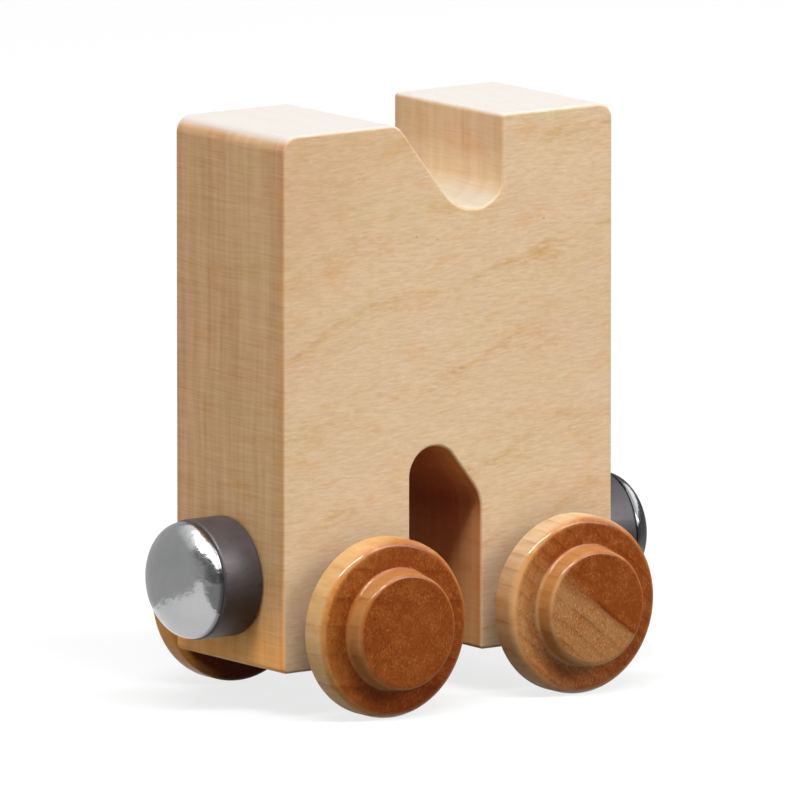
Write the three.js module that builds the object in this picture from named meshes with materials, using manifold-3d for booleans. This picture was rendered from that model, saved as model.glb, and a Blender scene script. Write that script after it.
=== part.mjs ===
// Letter train car: a capital letter cut from a thick board, carried on two turned wheelsets,
// with a capped ring magnet nailed to each end as its coupler.
// Millimetres. The letter reads along +X, its face is on the -Y side and +Z is up.
// The origin is on the ground, under the middle of the car.
import * as THREE from 'three';
import { mergeVertices } from 'three/addons/utils/BufferGeometryUtils.js';
import Module from 'manifold-3d';

// Board
const BODY_WIDTH = 42.1;
const BODY_HEIGHT = 55.9;
const BODY_THICKNESS = 19.05;
const TOP_CORNER_RADIUS = 1.75;
const FOOT_CORNER_RADIUS = 0.6;
const EDGE_EASE = 0.35;

// Slope of the letter's stroke, shared by the notch and the slot
const STROKE_ANGLE = THREE.MathUtils.degToRad(52);

// Notch from the top: an upright wall on the right, the stroke's slope on the left.
// The wall ends in a soft crease, where it leans in over the round floor.
const NOTCH_DEPTH = 9.5;
const NOTCH_WALL_X = 6.83;
const NOTCH_CREASE_HEIGHT = 2.2;
const NOTCH_CREASE_ANGLE = THREE.MathUtils.degToRad(62);
const NOTCH_CREASE_RADIUS = 0.5;
const NOTCH_FLOOR_WIDTH = 4.65;
const NOTCH_WALL_RADIUS = 3.6;
const NOTCH_SLOPE_RADIUS = 4.6;
const NOTCH_SLOPE_LIP_RADIUS = 2;

// Slot from below: an upright wall on each side, and the stroke's slope over the right one
const SLOT_LEFT_X = -4.88;
const SLOT_WIDTH = 9.02;
const SLOT_SHOULDER_HEIGHT = 16.2;
const SLOT_CROWN_RADIUS = 3.05;
const SLOT_SHOULDER_RADIUS = 4.1;

// Square mouths of the notch and the slot
const MOUTH_RADIUS = 0.5;

// Axles, placed from the ends and the underside of the board
const LEFT_AXLE_INSET = 10.03;
const RIGHT_AXLE_INSET = 7.85;
const AXLE_HEIGHT = 4.55;
const AXLE_DIAMETER = 3.2;

// Turned wheels: an inner hub, a flange that rolls and an outer boss
const FLANGE_RADIUS = 9.35;
const FLANGE_THICKNESS = 3.34;
const FLANGE_INNER_ROUND = 0.5;
const FLANGE_OUTER_ROUND = 1;
const HUB_RADIUS = 4.6;
const HUB_LENGTH = 2.2;
const BOSS_RADIUS = 6.1;
const BOSS_LENGTH = 2.3;
const BOSS_ROUND = 0.55;
const BOSS_FOOT_ROUND = 0.5;
const AXLE_END_COVER = 2.9;

// Couplers: a ring magnet and a hollow domed cap on a round-headed nail
const COUPLER_HEIGHT = 9.1;
const MAGNET_RADIUS = 6.25;
const MAGNET_LENGTH = 4.8;
const MAGNET_EDGE_ROUND = 0.35;
const CAP_RADIUS = 6.1;
const CAP_HEIGHT = 3.5;
const CAP_WALL = 0.7;
const NAIL_DIAMETER = 2.2;
const NAIL_LENGTH = 15.5;
const NAIL_POINT_LENGTH = 2.5;

// The right nail is driven a little less deep than the left one
const LEFT_STANDOFF = 0.15;
const RIGHT_STANDOFF = 0.95;

// Clearances
const RUNNING_GAP = 0.2;
const PRESS_GAP = 0.1;
const SIDE_GAP = 0.3;
const END_GAP = 0.3;
const CAP_SEAT_GAP = 0.15;
const MAGNET_HOLE_GAP = 0.2;

// Facets
const WHEEL_FACETS = 36;
const ROD_FACETS = 24;
const COUPLER_FACETS = 32;
const ARC_STEPS = 3;
const DOME_STEPS = 6;
const EASE_STEPS = 2;
const WELD_DISTANCE = 0.0001;

const MAPLE = { color: 0xdebe96, roughness: 0.6, metalness: 0 };
const LACQUERED_WOOD = { color: 0xa0602c, roughness: 0.35, metalness: 0 };
const STEEL = { color: 0x9a9a9c, roughness: 0.4, metalness: 1 };
const FERRITE = { color: 0x4a4446, roughness: 0.55, metalness: 0.3 };
const CHROME = { color: 0xd8d8da, roughness: 0.12, metalness: 1 };

const wasm = await Module();
wasm.setup();

function solidFrom(geometry) {
  const bare = geometry.clone();
  bare.deleteAttribute('normal');
  bare.deleteAttribute('uv');
  const welded = mergeVertices(bare, WELD_DISTANCE);
  const vertProperties = new Float32Array(welded.getAttribute('position').array);
  const triVerts = new Uint32Array(welded.getIndex().array);
  return new wasm.Manifold(new wasm.Mesh({ numProp: 3, vertProperties, triVerts }));
}

function geometryFrom(solid) {
  const { vertProperties, triVerts } = solid.getMesh();
  const geometry = new THREE.BufferGeometry();
  geometry.setAttribute('position', new THREE.BufferAttribute(vertProperties, 3));
  geometry.setIndex(new THREE.BufferAttribute(triVerts, 1));
  geometry.computeVertexNormals();
  return geometry;
}

function piece(name, geometry, finish) {
  const mesh = new THREE.Mesh(geometry, new THREE.MeshStandardMaterial(finish));
  mesh.name = name;
  return mesh;
}

// Closed outline through corners that are each rounded by their own radius.
// A radius is limited by the two straight sides that it joins.
function roundedShape(corners) {
  const after = (i) => corners[(i + 1) % corners.length];
  const before = (i) => corners[(i + corners.length - 1) % corners.length];
  const bends = corners.map((corner, i) => {
    const toBefore = before(i).at.clone().sub(corner.at).normalize();
    const toAfter = after(i).at.clone().sub(corner.at).normalize();
    const halfAngle = Math.acos(toBefore.dot(toAfter)) / 2;
    return { toBefore, toAfter, halfAngle, reach: corner.radius / Math.tan(halfAngle) };
  });
  const shares = corners.map((corner, i) => {
    const side = corner.at.distanceTo(after(i).at);
    return Math.min(1, side / (bends[i].reach + bends[(i + 1) % bends.length].reach));
  });
  const shape = new THREE.Shape();
  corners.forEach((corner, i) => {
    const { toBefore, toAfter, halfAngle } = bends[i];
    const share = Math.min(shares[i], shares[(i + shares.length - 1) % shares.length]);
    const radius = corner.radius * share;
    const start = corner.at.clone().addScaledVector(toBefore, bends[i].reach * share);
    const end = corner.at.clone().addScaledVector(toAfter, bends[i].reach * share);
    const inward = toBefore.clone().add(toAfter).normalize();
    const centre = corner.at.clone().addScaledVector(inward, radius / Math.sin(halfAngle));
    const startAngle = Math.atan2(start.y - centre.y, start.x - centre.x);
    const endAngle = Math.atan2(end.y - centre.y, end.x - centre.x);
    const clockwise = toBefore.cross(toAfter) > 0;
    shape.absarc(centre.x, centre.y, radius, startAngle, endAngle, clockwise);
  });
  return shape;
}

// Quarter of an ellipse in a lathe profile, from one angle to another
function profileArc(centreX, centreY, radiusX, radiusY, fromDegrees, toDegrees, steps) {
  return Array.from({ length: steps + 1 }, (_, i) => {
    const angle = THREE.MathUtils.degToRad(fromDegrees + ((toDegrees - fromDegrees) * i) / steps);
    const x = Math.max(0, centreX + radiusX * Math.cos(angle));
    return new THREE.Vector2(x, centreY + radiusY * Math.sin(angle));
  });
}

function at(x, y) {
  return new THREE.Vector2(x, y);
}

// Letter, seen from its face, with the underside of the board at height zero
function letterShape() {
  const halfWidth = BODY_WIDTH / 2;
  const slope = Math.tan(STROKE_ANGLE);
  const notchFloor = BODY_HEIGHT - NOTCH_DEPTH;
  const notchCrease = notchFloor + NOTCH_CREASE_HEIGHT;
  const notchHeelX = NOTCH_WALL_X - NOTCH_CREASE_HEIGHT / Math.tan(NOTCH_CREASE_ANGLE);
  const notchFootX = notchHeelX - NOTCH_FLOOR_WIDTH;
  const notchLipX = notchFootX - NOTCH_DEPTH / slope;
  const slotRightX = SLOT_LEFT_X + SLOT_WIDTH;
  const slotCrown = SLOT_SHOULDER_HEIGHT + SLOT_WIDTH * slope;
  return roundedShape([
    { at: at(-halfWidth, 0), radius: FOOT_CORNER_RADIUS },
    { at: at(SLOT_LEFT_X, 0), radius: MOUTH_RADIUS },
    { at: at(SLOT_LEFT_X, slotCrown), radius: SLOT_CROWN_RADIUS },
    { at: at(slotRightX, SLOT_SHOULDER_HEIGHT), radius: SLOT_SHOULDER_RADIUS },
    { at: at(slotRightX, 0), radius: MOUTH_RADIUS },
    { at: at(halfWidth, 0), radius: FOOT_CORNER_RADIUS },
    { at: at(halfWidth, BODY_HEIGHT), radius: TOP_CORNER_RADIUS },
    { at: at(NOTCH_WALL_X, BODY_HEIGHT), radius: MOUTH_RADIUS },
    { at: at(NOTCH_WALL_X, notchCrease), radius: NOTCH_CREASE_RADIUS },
    { at: at(notchHeelX, notchFloor), radius: NOTCH_WALL_RADIUS },
    { at: at(notchFootX, notchFloor), radius: NOTCH_SLOPE_RADIUS },
    { at: at(notchLipX, BODY_HEIGHT), radius: NOTCH_SLOPE_LIP_RADIUS },
    { at: at(-halfWidth, BODY_HEIGHT), radius: TOP_CORNER_RADIUS },
  ]);
}

// Board with its edges eased on both faces, upright and centred on its thickness
function boardSolid() {
  const geometry = new THREE.ExtrudeGeometry(letterShape(), {
    depth: BODY_THICKNESS - 2 * EDGE_EASE,
    bevelEnabled: true,
    bevelThickness: EDGE_EASE,
    bevelSize: EDGE_EASE,
    bevelOffset: -EDGE_EASE,
    bevelSegments: EASE_STEPS,
    curveSegments: ARC_STEPS,
  });
  geometry.translate(0, 0, EDGE_EASE - BODY_THICKNESS / 2);
  geometry.rotateX(Math.PI / 2);
  return solidFrom(geometry);
}

const LEFT_AXLE_X = LEFT_AXLE_INSET - BODY_WIDTH / 2;
const RIGHT_AXLE_X = BODY_WIDTH / 2 - RIGHT_AXLE_INSET;

// Bore for an axle, right through the board
function axleBore(x) {
  const radius = AXLE_DIAMETER / 2 + RUNNING_GAP;
  const geometry = new THREE.CylinderGeometry(radius, radius, 2 * BODY_THICKNESS, ROD_FACETS);
  geometry.translate(x, 0, AXLE_HEIGHT);
  return solidFrom(geometry);
}

// How deep a nail goes into the end of the board
function nailDepth(standoff) {
  return NAIL_LENGTH - standoff - MAGNET_LENGTH - CAP_SEAT_GAP;
}

// Blind hole for a nail, from the end face on the given side
function nailHole(side, standoff) {
  const radius = NAIL_DIAMETER / 2 + PRESS_GAP;
  const depth = nailDepth(standoff) + END_GAP;
  const geometry = new THREE.CylinderGeometry(radius, radius, 2 * depth, ROD_FACETS);
  geometry.rotateZ(Math.PI / 2);
  geometry.translate((side * BODY_WIDTH) / 2, 0, COUPLER_HEIGHT);
  return solidFrom(geometry);
}

function letterBody() {
  const solid = boardSolid()
    .subtract(axleBore(LEFT_AXLE_X))
    .subtract(axleBore(RIGHT_AXLE_X))
    .subtract(nailHole(-1, LEFT_STANDOFF))
    .subtract(nailHole(1, RIGHT_STANDOFF));
  return piece('letter_body', geometryFrom(solid), MAPLE);
}

const WHEEL_LENGTH = HUB_LENGTH + FLANGE_THICKNESS + BOSS_LENGTH;
const WHEEL_BORE_DEPTH = WHEEL_LENGTH - AXLE_END_COVER;

// Wheel turned about Y, from the hub's inner face outwards, with a blind bore for the axle
function wheelGeometry() {
  const boreRadius = AXLE_DIAMETER / 2 + PRESS_GAP;
  const flangeFace = HUB_LENGTH + FLANGE_THICKNESS;
  const innerEdge = FLANGE_RADIUS - FLANGE_INNER_ROUND;
  const outerEdge = FLANGE_RADIUS - FLANGE_OUTER_ROUND;
  const footEdge = BOSS_RADIUS + BOSS_FOOT_ROUND;
  const bossEdge = BOSS_RADIUS - BOSS_ROUND;
  const innerStart = HUB_LENGTH + FLANGE_INNER_ROUND;
  const outerStart = flangeFace - FLANGE_OUTER_ROUND;
  const footEnd = flangeFace + BOSS_FOOT_ROUND;
  const bossStart = WHEEL_LENGTH - BOSS_ROUND;
  const profile = [
    at(0, WHEEL_BORE_DEPTH),
    at(boreRadius, WHEEL_BORE_DEPTH),
    at(boreRadius, 0),
    at(HUB_RADIUS, 0),
    at(HUB_RADIUS, HUB_LENGTH),
    ...profileArc(innerEdge, innerStart, FLANGE_INNER_ROUND, FLANGE_INNER_ROUND, -90, 0, ARC_STEPS),
    ...profileArc(outerEdge, outerStart, FLANGE_OUTER_ROUND, FLANGE_OUTER_ROUND, 0, 90, ARC_STEPS),
    ...profileArc(footEdge, footEnd, BOSS_FOOT_ROUND, BOSS_FOOT_ROUND, 270, 180, ARC_STEPS),
    ...profileArc(bossEdge, bossStart, BOSS_ROUND, BOSS_ROUND, 0, 90, ARC_STEPS),
    at(0, WHEEL_LENGTH),
  ];
  return new THREE.LatheGeometry(profile, WHEEL_FACETS);
}

// Axle with a wheel pressed on each end, turning about Y
function wheelset(side) {
  const group = new THREE.Group();
  const hubFace = BODY_THICKNESS / 2 + SIDE_GAP;
  const axleLength = 2 * (hubFace + WHEEL_BORE_DEPTH - END_GAP);
  const axleRadius = AXLE_DIAMETER / 2;
  const axle = new THREE.CylinderGeometry(axleRadius, axleRadius, axleLength, ROD_FACETS);
  group.add(piece(`${side}_axle`, axle, STEEL));
  const backWheel = piece(`${side}_wheel_back_side`, wheelGeometry(), LACQUERED_WOOD);
  backWheel.position.y = hubFace;
  group.add(backWheel);
  const faceWheel = piece(`${side}_wheel_face_side`, wheelGeometry(), LACQUERED_WOOD);
  faceWheel.position.y = -hubFace;
  faceWheel.rotation.x = Math.PI;
  group.add(faceWheel);
  return group;
}

// Ring magnet about Y, from the end of the board outwards
function magnetGeometry() {
  const holeRadius = NAIL_DIAMETER / 2 + MAGNET_HOLE_GAP;
  const edge = MAGNET_RADIUS - MAGNET_EDGE_ROUND;
  const frontStart = MAGNET_LENGTH - MAGNET_EDGE_ROUND;
  const profile = [
    at(holeRadius, 0),
    ...profileArc(edge, MAGNET_EDGE_ROUND, MAGNET_EDGE_ROUND, MAGNET_EDGE_ROUND, -90, 0, ARC_STEPS),
    ...profileArc(edge, frontStart, MAGNET_EDGE_ROUND, MAGNET_EDGE_ROUND, 0, 90, ARC_STEPS),
    at(holeRadius, MAGNET_LENGTH),
    at(holeRadius, 0),
  ];
  return new THREE.LatheGeometry(profile, COUPLER_FACETS);
}

// Hollow domed cap about Y, with its rim at height zero
function capGeometry() {
  const innerRadius = CAP_RADIUS - CAP_WALL;
  const innerHeight = CAP_HEIGHT - CAP_WALL;
  const profile = [
    ...profileArc(0, 0, innerRadius, innerHeight, 90, 0, DOME_STEPS),
    ...profileArc(0, 0, CAP_RADIUS, CAP_HEIGHT, 0, 90, DOME_STEPS),
  ];
  return new THREE.LatheGeometry(profile, COUPLER_FACETS);
}

// Pointed nail about Y, with a domed head that fills the cap and its underside at height zero
function nailGeometry() {
  const shankRadius = NAIL_DIAMETER / 2;
  const headRadius = CAP_RADIUS - CAP_WALL - PRESS_GAP;
  const headHeight = CAP_HEIGHT - CAP_WALL - PRESS_GAP;
  const profile = [
    at(0, -NAIL_LENGTH),
    at(shankRadius, NAIL_POINT_LENGTH - NAIL_LENGTH),
    at(shankRadius, 0),
    ...profileArc(0, 0, headRadius, headHeight, 0, 90, DOME_STEPS),
  ];
  return new THREE.LatheGeometry(profile, COUPLER_FACETS);
}

// Magnet, cap and nail along Y, from the end of the board outwards
function coupler(side, standoff) {
  const group = new THREE.Group();
  const capSeat = standoff + MAGNET_LENGTH + CAP_SEAT_GAP;
  const magnet = piece(`${side}_magnet`, magnetGeometry(), FERRITE);
  magnet.position.y = standoff;
  group.add(magnet);
  const cap = piece(`${side}_magnet_cap`, capGeometry(), CHROME);
  cap.position.y = capSeat;
  group.add(cap);
  const nail = piece(`${side}_cap_nail`, nailGeometry(), STEEL);
  nail.position.y = capSeat;
  group.add(nail);
  return group;
}

const car = new THREE.Group();
car.add(letterBody());

const leftWheelset = wheelset('left');
leftWheelset.position.set(LEFT_AXLE_X, 0, AXLE_HEIGHT);
car.add(leftWheelset);
const rightWheelset = wheelset('right');
rightWheelset.position.set(RIGHT_AXLE_X, 0, AXLE_HEIGHT);
car.add(rightWheelset);

const leftCoupler = coupler('left', LEFT_STANDOFF);
leftCoupler.position.set(-BODY_WIDTH / 2, 0, COUPLER_HEIGHT);
leftCoupler.rotation.z = Math.PI / 2;
car.add(leftCoupler);
const rightCoupler = coupler('right', RIGHT_STANDOFF);
rightCoupler.position.set(BODY_WIDTH / 2, 0, COUPLER_HEIGHT);
rightCoupler.rotation.z = -Math.PI / 2;
car.add(rightCoupler);

// The wheels stand on the ground, and the car's two ends are equally far from the origin
car.position.x = (LEFT_STANDOFF - RIGHT_STANDOFF) / 2;
car.position.z = FLANGE_RADIUS - AXLE_HEIGHT;

export default car;
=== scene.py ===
import math
from collections import namedtuple

import bmesh
import bpy
from mathutils import Matrix, Vector


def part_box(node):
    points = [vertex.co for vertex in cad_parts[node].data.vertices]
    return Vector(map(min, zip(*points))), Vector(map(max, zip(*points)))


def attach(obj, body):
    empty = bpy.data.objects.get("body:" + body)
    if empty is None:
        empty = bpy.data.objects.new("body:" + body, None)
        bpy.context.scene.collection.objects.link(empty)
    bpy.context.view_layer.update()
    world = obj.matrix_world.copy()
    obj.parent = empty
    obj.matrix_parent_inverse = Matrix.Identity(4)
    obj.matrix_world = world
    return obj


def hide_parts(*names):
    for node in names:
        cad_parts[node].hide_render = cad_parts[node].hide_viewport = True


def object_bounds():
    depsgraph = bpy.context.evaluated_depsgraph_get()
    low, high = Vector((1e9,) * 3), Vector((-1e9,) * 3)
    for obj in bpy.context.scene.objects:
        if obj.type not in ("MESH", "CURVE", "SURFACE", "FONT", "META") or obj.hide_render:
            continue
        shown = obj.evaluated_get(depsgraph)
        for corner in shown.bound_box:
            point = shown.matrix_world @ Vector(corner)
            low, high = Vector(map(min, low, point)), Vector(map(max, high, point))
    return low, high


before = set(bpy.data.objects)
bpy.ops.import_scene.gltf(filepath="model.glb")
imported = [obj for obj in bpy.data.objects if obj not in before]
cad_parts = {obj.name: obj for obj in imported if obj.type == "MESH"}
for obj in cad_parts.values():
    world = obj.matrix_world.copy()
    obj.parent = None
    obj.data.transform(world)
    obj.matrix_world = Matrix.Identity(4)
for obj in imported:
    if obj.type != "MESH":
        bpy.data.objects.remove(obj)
cad_low, cad_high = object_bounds()

MM = 0.001

# Board of the letter
BOARD_LOW, BOARD_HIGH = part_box("letter_body")
BOARD_MIDDLE_X = (BOARD_LOW.x + BOARD_HIGH.x) / 2
BOARD_HALF_WIDTH = (BOARD_HIGH.x - BOARD_LOW.x) / 2
BOARD_HEIGHT = BOARD_HIGH.z - BOARD_LOW.z
BOARD_THICKNESS = BOARD_HIGH.y - BOARD_LOW.y
TOP_CORNER_RADIUS = 1.75 * MM
FOOT_CORNER_RADIUS = 0.6 * MM
EDGE_EASE = 0.35 * MM
STROKE_SLOPE = math.tan(math.radians(52))

# Notch in the top: an upright wall that ends in a soft crease over a round floor
NOTCH_DEPTH = 9.5 * MM
NOTCH_WALL_X = 6.83 * MM
NOTCH_CREASE_HEIGHT = 2.2 * MM
NOTCH_CREASE_SLOPE = math.tan(math.radians(62))
NOTCH_CREASE_RADIUS = 1.2 * MM
NOTCH_FLOOR_WIDTH = 4.65 * MM
NOTCH_WALL_RADIUS = 3.6 * MM
NOTCH_SLOPE_RADIUS = 4.6 * MM
NOTCH_LIP_RADIUS = 2 * MM

# Slot in the underside
SLOT_LEFT_X = -4.88 * MM
SLOT_RIGHT_X = 4.14 * MM
SLOT_WIDTH = SLOT_RIGHT_X - SLOT_LEFT_X
SLOT_SHOULDER_HEIGHT = 16.2 * MM
SLOT_CROWN_CORNER = SLOT_SHOULDER_HEIGHT + SLOT_WIDTH * STROKE_SLOPE
SLOT_CROWN_RADIUS = 3.05 * MM
SLOT_SHOULDER_RADIUS = 4.1 * MM
MOUTH_RADIUS = 0.5 * MM

# Turned wheels, from the hub's inner face outwards
FLANGE_THICKNESS = 3.34 * MM
FLANGE_INNER_ROUND = 0.5 * MM
FLANGE_OUTER_ROUND = 1 * MM
HUB_RADIUS = 4.6 * MM
HUB_LENGTH = 2.2 * MM
HUB_ROUND = 0.25 * MM
BOSS_RADIUS = 6.1 * MM
BOSS_ROUND = 0.55 * MM
BOSS_FOOT_ROUND = 0.5 * MM
WHEEL_BORE_RADIUS = 1.7 * MM
AXLE_END_COVER = 2.9 * MM

# Couplers, and the room around the axles and nails
MAGNET_EDGE_ROUND = 0.35 * MM
MAGNET_HOLE_RADIUS = 1.3 * MM
CAP_SEAT = 0.08 * MM
CAP_WALL = 0.7 * MM
NAIL_HOLE_RADIUS = 1.2 * MM
NAIL_END_GAP = 0.3 * MM
AXLE_RUNNING_GAP = 0.2 * MM

# Smoothness of the turned pieces and the rounded corners
TURN_STEPS = 128
COUPLER_STEPS = 128
BORE_STEPS = 48
ARC_STEP_ANGLE = math.radians(6)
ROUND_SEGMENTS = 5
EASE_SEGMENTS = 4
ROUND_PROFILE = 0.5
DOME_STEPS = 28
SHARP_ANGLE = math.radians(42)
WELD = 0.0005 * MM


# Meshes

def new_piece(name, mesh_maker):
    mesh = bpy.data.meshes.new(name)
    mesh_maker.to_mesh(mesh)
    mesh_maker.free()
    piece = bpy.data.objects.new(name, mesh)
    bpy.context.scene.collection.objects.link(piece)
    return piece


def smooth_with_crisp_edges(piece):
    piece.data.shade_smooth()
    piece.data.set_sharp_from_angle(angle=SHARP_ANGLE)
    flat_faces = piece.modifiers.new("flat_faces_stay_flat", "WEIGHTED_NORMAL")
    flat_faces.keep_sharp = True


def facing(point, direction):
    """Place of a turned piece: its foot at a point, its axis along a direction."""
    turn = Vector(direction).to_track_quat("Z", "Y").to_matrix().to_4x4()
    return Matrix.Translation(point) @ turn


def rounded_corner(bm, corner, before, after, radius):
    """Arc that rounds one corner of the letter's outline. Returns its first and last vertex."""
    to_before = (before - corner).normalized()
    to_after = (after - corner).normalized()
    half_angle = to_before.angle(to_after) / 2
    reach = radius / math.tan(half_angle)
    middle = (to_before + to_after).normalized()
    centre = corner + middle * (radius / math.sin(half_angle))
    turn = math.pi - 2 * half_angle
    first = bm.verts.new(corner + to_before * reach)
    axis = (first.co - centre).cross(corner + to_after * reach - centre).normalized()
    arc = bmesh.ops.spin(
        bm,
        geom=[first],
        cent=centre,
        axis=axis,
        angle=turn,
        steps=math.ceil(turn / ARC_STEP_ANGLE),
        use_merge=False,
    )
    last = [v for v in arc["geom_last"] if isinstance(v, bmesh.types.BMVert)][0]
    return first, last


def letter_corners():
    """Corners of the letter with their radii, seen from its face."""
    half = BOARD_HALF_WIDTH
    top = BOARD_HEIGHT
    notch_floor = BOARD_HEIGHT - NOTCH_DEPTH
    notch_crease = notch_floor + NOTCH_CREASE_HEIGHT
    notch_heel_x = NOTCH_WALL_X - NOTCH_CREASE_HEIGHT / NOTCH_CREASE_SLOPE
    notch_foot_x = notch_heel_x - NOTCH_FLOOR_WIDTH
    notch_lip_x = notch_foot_x - NOTCH_DEPTH / STROKE_SLOPE
    return [
        (-half, 0, FOOT_CORNER_RADIUS),
        (SLOT_LEFT_X, 0, MOUTH_RADIUS),
        (SLOT_LEFT_X, SLOT_CROWN_CORNER, SLOT_CROWN_RADIUS),
        (SLOT_RIGHT_X, SLOT_SHOULDER_HEIGHT, SLOT_SHOULDER_RADIUS),
        (SLOT_RIGHT_X, 0, MOUTH_RADIUS),
        (half, 0, FOOT_CORNER_RADIUS),
        (half, top, TOP_CORNER_RADIUS),
        (NOTCH_WALL_X, top, MOUTH_RADIUS),
        (NOTCH_WALL_X, notch_crease, NOTCH_CREASE_RADIUS),
        (notch_heel_x, notch_floor, NOTCH_WALL_RADIUS),
        (notch_foot_x, notch_floor, NOTCH_SLOPE_RADIUS),
        (notch_lip_x, top, NOTCH_LIP_RADIUS),
        (-half, top, TOP_CORNER_RADIUS),
    ]


def letter_board():
    """The letter, cut from the board and eased along the edges of both faces."""
    bm = bmesh.new()
    corners = letter_corners()
    points = [
        Vector((BOARD_MIDDLE_X + x, BOARD_LOW.y, BOARD_LOW.z + z)) for x, z, radius in corners
    ]
    arcs = []
    for i, (x, z, radius) in enumerate(corners):
        after = points[(i + 1) % len(points)]
        arcs.append(rounded_corner(bm, points[i], points[i - 1], after, radius))
    for i, arc in enumerate(arcs):
        bm.edges.new((arcs[i - 1][1], arc[0]))
    face = bmesh.ops.contextual_create(bm, geom=bm.edges[:])["faces"]
    pulled = bmesh.ops.extrude_face_region(bm, geom=face, use_keep_orig=True)["geom"]
    back = [v for v in pulled if isinstance(v, bmesh.types.BMVert)]
    bmesh.ops.translate(bm, verts=back, vec=(0, BOARD_THICKNESS, 0))
    bmesh.ops.recalc_face_normals(bm, faces=bm.faces[:])
    rims = [e for e in bm.edges if abs(e.verts[0].co.y - e.verts[1].co.y) < WELD]
    bmesh.ops.bevel(
        bm,
        geom=rims,
        offset=EDGE_EASE,
        offset_type="OFFSET",
        segments=EASE_SEGMENTS,
        profile=ROUND_PROFILE,
        affect="EDGES",
        material=-1,
        clamp_overlap=False,
    )
    return new_piece("maple_letter", bm)


def rod_cutter(centre, direction, radius, length):
    """Round cutter for a bore, centred on a point."""
    bm = bmesh.new()
    bmesh.ops.create_cone(
        bm, cap_ends=True, segments=BORE_STEPS, radius1=radius, radius2=radius, depth=length
    )
    bmesh.ops.transform(bm, matrix=facing(centre, direction), verts=bm.verts[:])
    return new_piece("bore_cutter", bm)


def bore(piece, cutters):
    for cutter in cutters:
        cut = piece.modifiers.new("bore", "BOOLEAN")
        cut.operation = "DIFFERENCE"
        cut.solver = "EXACT"
        cut.object = cutter
    cut_piece = piece.evaluated_get(bpy.context.evaluated_depsgraph_get())
    bored = bpy.data.meshes.new_from_object(cut_piece)
    piece.modifiers.clear()
    piece.data = bored
    for cutter in cutters:
        bpy.data.objects.remove(cutter)


def spun(name, bm, place, steps):
    """Piece spun about Z from the outline in a mesh maker, then put in its place."""
    bmesh.ops.spin(
        bm,
        geom=bm.verts[:] + bm.edges[:],
        cent=(0, 0, 0),
        axis=(0, 0, 1),
        angle=math.tau,
        steps=steps,
        use_merge=True,
    )
    bmesh.ops.remove_doubles(bm, verts=bm.verts[:], dist=WELD)
    bmesh.ops.recalc_face_normals(bm, faces=bm.faces[:])
    bmesh.ops.transform(bm, matrix=place, verts=bm.verts[:])
    return new_piece(name, bm)


def turned(name, profile, place, steps):
    """Piece turned on a lathe from (radius, height, round) corners."""
    bm = bmesh.new()
    corners = [bm.verts.new((radius, 0, height)) for radius, height, edge_round in profile]
    for before, after in zip(corners, corners[1:]):
        bm.edges.new((before, after))
    for corner, (radius, height, edge_round) in zip(corners, profile):
        if edge_round:
            bmesh.ops.bevel(
                bm,
                geom=[corner],
                offset=edge_round,
                offset_type="OFFSET",
                segments=ROUND_SEGMENTS,
                profile=ROUND_PROFILE,
                affect="VERTICES",
                material=-1,
            )
    return spun(name, bm, place, steps)


def wheel(node):
    """Turned wheel with an inner hub, a rolling flange and an outer boss."""
    low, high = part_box(node)
    outwards = 1 if low.y > 0 else -1
    foot_y = low.y if outwards > 0 else high.y
    foot = Vector(((low.x + high.x) / 2, foot_y, (low.z + high.z) / 2))
    radius = (high.z - low.z) / 2
    length = high.y - low.y
    bore_depth = length - AXLE_END_COVER
    flange_face = HUB_LENGTH + FLANGE_THICKNESS
    profile = [
        (0, bore_depth, 0),
        (WHEEL_BORE_RADIUS, bore_depth, 0),
        (WHEEL_BORE_RADIUS, 0, 0),
        (HUB_RADIUS, 0, HUB_ROUND),
        (HUB_RADIUS, HUB_LENGTH, BOSS_FOOT_ROUND),
        (radius, HUB_LENGTH, FLANGE_INNER_ROUND),
        (radius, flange_face, FLANGE_OUTER_ROUND),
        (BOSS_RADIUS, flange_face, BOSS_FOOT_ROUND),
        (BOSS_RADIUS, length, BOSS_ROUND),
        (0, length, 0),
    ]
    return turned("turned_" + node, profile, facing(foot, (0, outwards, 0)), TURN_STEPS)


def end_foot(node):
    """Foot and outward direction of a coupler's piece at one end of the car."""
    low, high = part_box(node)
    outwards = 1 if low.x > 0 else -1
    foot_x = low.x if outwards > 0 else high.x
    return Vector((foot_x, (low.y + high.y) / 2, (low.z + high.z) / 2)), (outwards, 0, 0)


def ring_magnet(node):
    """Thick ring of sintered ferrite, with its edges ground off."""
    low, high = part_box(node)
    foot, outwards = end_foot(node)
    radius = (high.z - low.z) / 2
    length = high.x - low.x + CAP_SEAT
    profile = [
        (MAGNET_HOLE_RADIUS, 0, 0),
        (radius, 0, MAGNET_EDGE_ROUND),
        (radius, length, MAGNET_EDGE_ROUND),
        (MAGNET_HOLE_RADIUS, length, 0),
        (MAGNET_HOLE_RADIUS, 0, 0),
    ]
    return turned("sintered_" + node, profile, facing(foot, outwards), COUPLER_STEPS)


def dome_arc(bm, radius, height):
    """Quarter of an ellipse from the rim up to the crown of a dome. Returns its rim."""
    others = set(bm.verts)
    rim = bm.verts.new((radius, 0, 0))
    bmesh.ops.spin(
        bm,
        geom=[rim],
        cent=(0, 0, 0),
        axis=(0, -1, 0),
        angle=math.pi / 2,
        steps=DOME_STEPS,
        use_merge=False,
    )
    arc = [v for v in bm.verts if v not in others]
    bmesh.ops.scale(bm, verts=arc, vec=(1, 1, height / radius))
    return rim


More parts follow.
